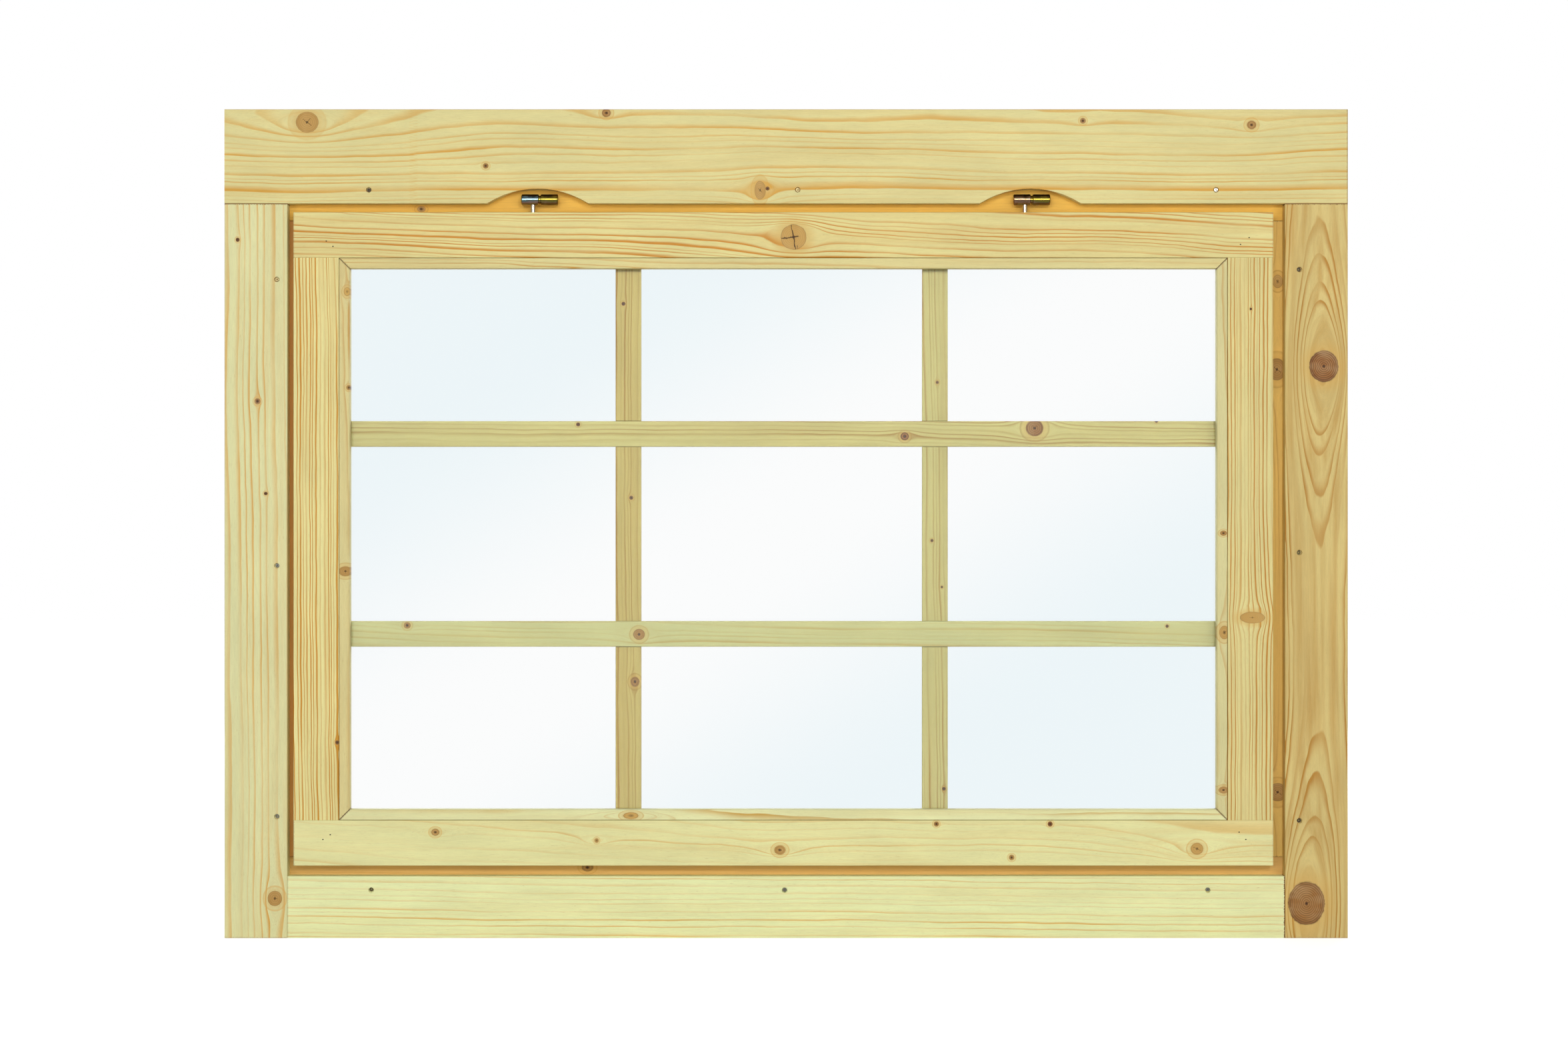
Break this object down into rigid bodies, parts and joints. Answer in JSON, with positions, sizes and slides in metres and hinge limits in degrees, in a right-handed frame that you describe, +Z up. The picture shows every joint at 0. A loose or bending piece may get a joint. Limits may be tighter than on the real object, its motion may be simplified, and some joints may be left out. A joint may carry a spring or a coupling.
{
  "type": "top hung awning window",
  "caption": "Timber top hung awning window: casing boards on a box frame, and a lipped sash on drill-in hinges with one pane and a lattice of glazing bars behind it.",
  "frame": {"origin": "on the underside of the frame's sill, halfway along it, in the plane of the wall's outer face, where the casing boards' backs lie", "axes": "+X to the right seen from outdoors, +Y into the building, +Z up"},
  "size_m": [1.359, 0.092, 1.003],
  "materials": {
    "casing_wood": "planed, untreated spruce",
    "frame_wood": "planed, untreated spruce",
    "sash_wood": "planed, untreated spruce",
    "bead_wood": "planed, untreated spruce",
    "bar_wood": "planed, untreated spruce",
    "glass": "clear float glass",
    "hinge_steel": "yellow passivated zinc on turned steel"
  },
  "bodies": {
    "root": {"casing_head": "casing_wood", "casing_left": "casing_wood", "casing_right": "casing_wood", "casing_bottom": "casing_wood", "frame_head": "frame_wood", "frame_sill": "frame_wood", "frame_left_jamb": "frame_wood", "frame_right_jamb": "frame_wood", "sash_top_rail": "sash_wood", "sash_bottom_rail": "sash_wood", "sash_left_stile": "sash_wood", "sash_right_stile": "sash_wood", "bead_top": "bead_wood", "bead_bottom": "bead_wood", "bead_left": "bead_wood", "bead_right": "bead_wood", "bar_left": "bar_wood", "bar_right": "bar_wood", "bar_upper": "bar_wood", "bar_lower": "bar_wood", "glass_pane": "glass", "hinge_left_sash_leaf": "hinge_steel", "hinge_left_frame_leaf": "hinge_steel", "hinge_left_washer": "hinge_steel", "hinge_right_sash_leaf": "hinge_steel", "hinge_right_frame_leaf": "hinge_steel", "hinge_right_washer": "hinge_steel"}
  },
  "joints": []
}
